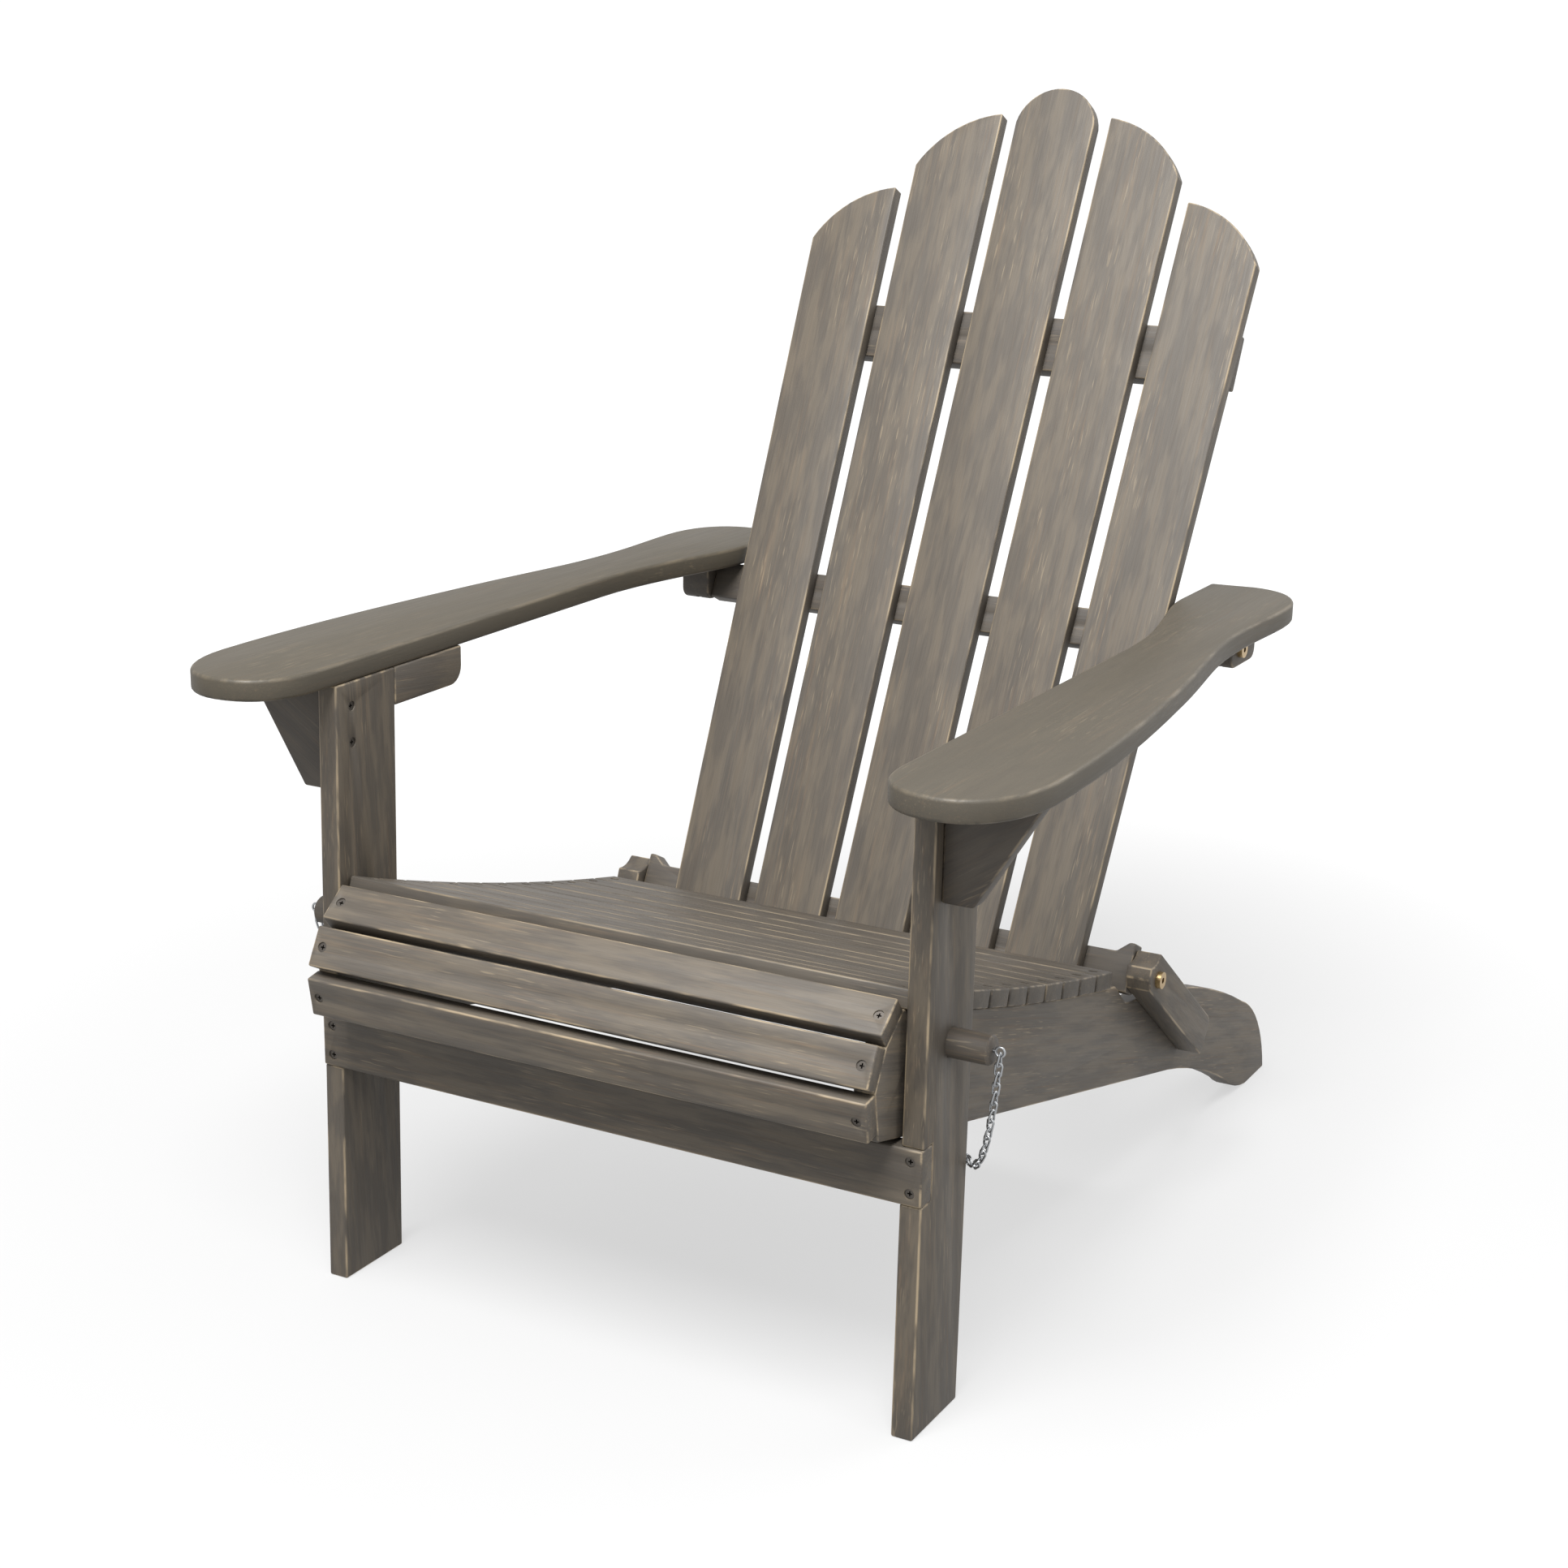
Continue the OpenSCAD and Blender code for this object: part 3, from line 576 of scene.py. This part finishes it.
class ChairSettings(bpy.types.PropertyGroup):
    """Sizes and colours of the chair's finish, with darker stains as painted shade and the floor's
    painted light.
    """

    board_round: length("Board rounding", "Edge radius of the legs, brackets and blocks", 0.0018)
    slat_round: length("Slat rounding", "Edge radius of the seat and back boards", 0.0016)
    arm_round: length("Arm rounding", "Edge radius of the arms", 0.0032)
    rim_round: length("Hole rounding", "Edge radius of the screw holes", 0.0005)
    pin_round: length("Pin rounding", "Edge radius of the dowel pins", 0.0006)
    wire: length("Chain wire", "Diameter of the chains' wire", 0.0018)
    link_twist: angle("Link twist", "How far each end of a chain link is twisted", 14)
    stain: colour("Stain", "Grey-brown stain on the boards", (0.050, 0.042, 0.033))
    cool_stain: colour("Cool stain", "Greyer patches in the stain", (0.056, 0.051, 0.045))
    deep_stain: colour("Deep stain", "Darker bands where the stain sank in", (0.036, 0.029, 0.022))
    # partly the arms' own olive tone, partly painted shade that keeps the brightly lit arm tops
    # dark
    arm_stain_and_shade: colour("Arm stain", "Stain on the arms", (0.037, 0.031, 0.021))
    # painted shade: a darker copy of the stain for the seat slats under the back and arms
    painted_shade_seat_stain: colour("Seat stain", "Stain on the seat slats", (0.036, 0.030, 0.023))
    # partly the legs' own darker stain, partly painted shade for the legs and stretcher under the
    # seat
    leg_stain_and_shade: colour("Leg stain", "Stain on the legs and the stretcher", (0.042, 0.035, 0.027))
    # painted shade: a darker copy of the stain for the rails, brackets, rear blocks and pins, which
    # lie in shadow
    painted_shade_stain: colour("Shade stain", "Stain on rails, brackets and pins", (0.037, 0.031, 0.025))
    warm_streak: colour("Warm streak", "Tan wood showing through in streaks", (0.100, 0.066, 0.040))
    pore: colour("Pore", "Dark pores along the grain", (0.022, 0.018, 0.014))
    rubbed: colour("Rubbed wood", "Pale wood on rubbed edges and flecks", (0.215, 0.168, 0.108))
    mottle: share("Mottle", "How far the stain varies over a board", 0.35)
    streaks: share("Streaks", "Strength of the tan streaks", 0.42)
    flecks: share("Flecks", "Strength of the pale flecks", 0.3)
    edge_wear: share("Edge wear", "How far the edges are rubbed pale", 0.85)
    screw_colour: colour("Screws", "Dark plated wood screws", (0.10, 0.09, 0.08))
    brass: colour("Bolts", "Yellow plated pivot bolts", (0.42, 0.30, 0.15))
    zinc: colour("Chains", "Bright zinc chains and eyes", (0.34, 0.35, 0.36))
    # painted light on the floor: a dimmer glow under the chair as a painted shadow, a brighter one
    # away from it
    near_glow_painted_shadow: colour("Floor glow", "Light of the floor under the chair", (0.60, 0.60, 0.60))
    far_glow_painted_light: colour("Far glow", "Light of the floor away from the chair", (0.93, 0.93, 0.93))
    floor: colour("Floor", "Pale studio floor", (0.12, 0.12, 0.12))
    view_azimuth: angle("View azimuth", "How far round to the right the camera stands", 28.7)
    view_elevation: angle("View elevation", "How far the camera looks down", 16.2)
    view_roll: angle("View roll", "Turn of the camera about its own axis", 0.86)
    view_distance: length("View distance", "From the camera to the point that it looks at", 2.263)
    lens: bpy.props.FloatProperty(
        name="Lens", description="Focal length of the camera", default=61.9, unit="CAMERA", min=1
    )


# ---- operators ----


class SeatBoards(bpy.types.Operator):
    """Makes the seat frame's stringers, links, seat slats and apron slats"""

    bl_idname = "chair.seat_boards"
    bl_label = "Seat boards"

    def execute(self, context):
        chair = context.scene.chair
        set_boards(SEAT_BOARDS, chair.slat_round, chair)
        return {"FINISHED"}


class BackBoards(bpy.types.Operator):
    """Makes the fan of back slats and the three rails behind it"""

    bl_idname = "chair.back_boards"
    bl_label = "Back boards"

    def execute(self, context):
        chair = context.scene.chair
        set_boards(BACK_BOARDS, chair.slat_round, chair)
        return {"FINISHED"}


class FrontBoards(bpy.types.Operator):
    """Makes the legs, the stretcher and the outboard brackets"""

    bl_idname = "chair.front_boards"
    bl_label = "Front boards"

    def execute(self, context):
        chair = context.scene.chair
        set_boards(FRONT_BOARDS, chair.board_round, chair)
        return {"FINISHED"}


class ArmBoards(bpy.types.Operator):
    """Makes the two arms and the blocks under them"""

    bl_idname = "chair.arm_boards"
    bl_label = "Arms"

    def execute(self, context):
        chair = context.scene.chair
        set_boards(ARMS, chair.arm_round, chair)
        set_boards(ARM_BLOCKS, chair.board_round, chair)
        return {"FINISHED"}


class LockingPins(bpy.types.Operator):
    """Makes the two dowel pins that lock the fold"""

    bl_idname = "chair.locking_pins"
    bl_label = "Locking pins"

    def execute(self, context):
        chair = context.scene.chair
        set_boards(["pin_left", "pin_right"], chair.pin_round, chair)
        return {"FINISHED"}


class RetainingChains(bpy.types.Operator):
    """Makes the chains that hold the pins, as round wire links where the CAD links lie"""

    bl_idname = "chair.retaining_chains"
    bl_label = "Retaining chains"

    def execute(self, context):
        chair = context.scene.chair
        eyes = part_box("chain_eyes")
        for side in ("left", "right"):
            pin_low, pin_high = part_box(f"pin_eye_{side}")
            leg_end = (eyes[0] + eyes[1]) / 2
            leg_end.x = math.copysign(eyes[1].x, pin_high.x)
            piece = hung_chain(side, chair)
            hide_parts(f"chain_{side}")
            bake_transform(piece)
        return {"FINISHED"}


class Metalwork(bpy.types.Operator):
    """Gives the screws, bolts, inserts and eyes their plated finishes"""

    bl_idname = "chair.metalwork"
    bl_label = "Metalwork"

    def execute(self, context):
        chair = context.scene.chair
        finishes = [
            (SCREWS, "screw_plating", chair.screw_colour, SCREW_FINISH),
            (PIVOT_METAL, "bolt_plating", chair.brass, BOLT_FINISH),
            (EYES, "chain_plating", chair.zinc, CHAIN_FINISH),
        ]
        for nodes, name, tint, finish in finishes:
            look = material(name, plated_metal, tint, *finish)
            for node in nodes:
                for slot in frame["nodes"][node].material_slots:
                    slot.material = look
        return {"FINISHED"}


class Stage(bpy.types.Operator):
    """Makes the pale floor, the soft light and the camera"""

    bl_idname = "chair.stage"
    bl_label = "Stage"

    def execute(self, context):
        chair = context.scene.chair
        floor = bmesh.new()
        bmesh.ops.create_grid(floor, x_segments=1, y_segments=1, size=FLOOR_SIZE)
        ground = finish_piece(floor, "studio_floor", plain_floor(chair))
        for name, details in LIGHTS.items():
            self.light(context, name, *details)
        world = bpy.data.worlds.new("studio")
        context.scene.world = world
        world.use_nodes = True
        sky = world.node_tree.nodes["Background"].inputs
        sky["Color"].default_value = (1, 1, 1, 1)
        sky["Strength"].default_value = SKY
        context.scene.view_settings.view_transform = "Standard"
        self.camera(context, chair)
        return {"FINISHED"}

    def light(self, context, name, place, size, power):
        """A soft round light that shines on the chair."""
        lamp = bpy.data.lights.new(name, "AREA")
        lamp.shape = "DISK"
        lamp.size = size
        lamp.energy = power
        holder = bpy.data.objects.new(name, lamp)
        context.scene.collection.objects.link(holder)
        holder.location = place
        aim = LIGHT_AIM - Vector(place)
        holder.rotation_euler = aim.to_track_quat("-Z", "Y").to_euler()

    def camera(self, context, chair):
        """The main camera, in front of the chair and to its right."""
        lens = bpy.data.cameras.new("camera")
        lens.lens = chair.lens
        viewer = bpy.data.objects.new("camera", lens)
        context.scene.collection.objects.link(viewer)
        seat_low, seat_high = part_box("seat_slat_1")
        middle = (seat_low.y + seat_high.y) / 2
        aim = Vector((0, middle + AIM_BEHIND, seat_high.z + AIM_ABOVE))
        back = Vector((
            math.sin(chair.view_azimuth) * math.cos(chair.view_elevation),
            -math.cos(chair.view_azimuth) * math.cos(chair.view_elevation),
            math.sin(chair.view_elevation),
        ))
        facing = (-back).to_track_quat("-Z", "Y").to_matrix().to_4x4()
        roll = Matrix.Rotation(chair.view_roll, 4, "Z")
        viewer.matrix_world = Matrix.Translation(aim + back * chair.view_distance) @ facing @ roll
        context.scene.camera = viewer


class ChairPanel(bpy.types.Panel):
    """Lists the chair's operators and its finish"""

    bl_idname = "CHAIR_PT_finish"
    bl_label = "Folding chair"
    bl_space_type = "VIEW_3D"
    bl_region_type = "UI"
    bl_category = "Chair"

    def draw(self, context):
        for operator in OPERATORS:
            self.layout.operator(operator.bl_idname)
        for name in ChairSettings.__annotations__:
            self.layout.prop(context.scene.chair, name)


OPERATORS = (
    SeatBoards,
    BackBoards,
    FrontBoards,
    ArmBoards,
    LockingPins,
    RetainingChains,
    Metalwork,
    Stage,
)


def register():
    for kind in (ChairSettings, *OPERATORS, ChairPanel):
        bpy.utils.register_class(kind)
    bpy.types.Scene.chair = bpy.props.PointerProperty(type=ChairSettings)


def unregister():
    del bpy.types.Scene.chair
    for kind in reversed((ChairSettings, *OPERATORS, ChairPanel)):
        bpy.utils.unregister_class(kind)


def main():
    register()
    bpy.ops.chair.seat_boards()
    bpy.ops.chair.back_boards()
    bpy.ops.chair.front_boards()
    bpy.ops.chair.arm_boards()
    bpy.ops.chair.locking_pins()
    bpy.ops.chair.retaining_chains()
    bpy.ops.chair.metalwork()
    bpy.ops.chair.stage()


if __name__ == "__main__":
    main()
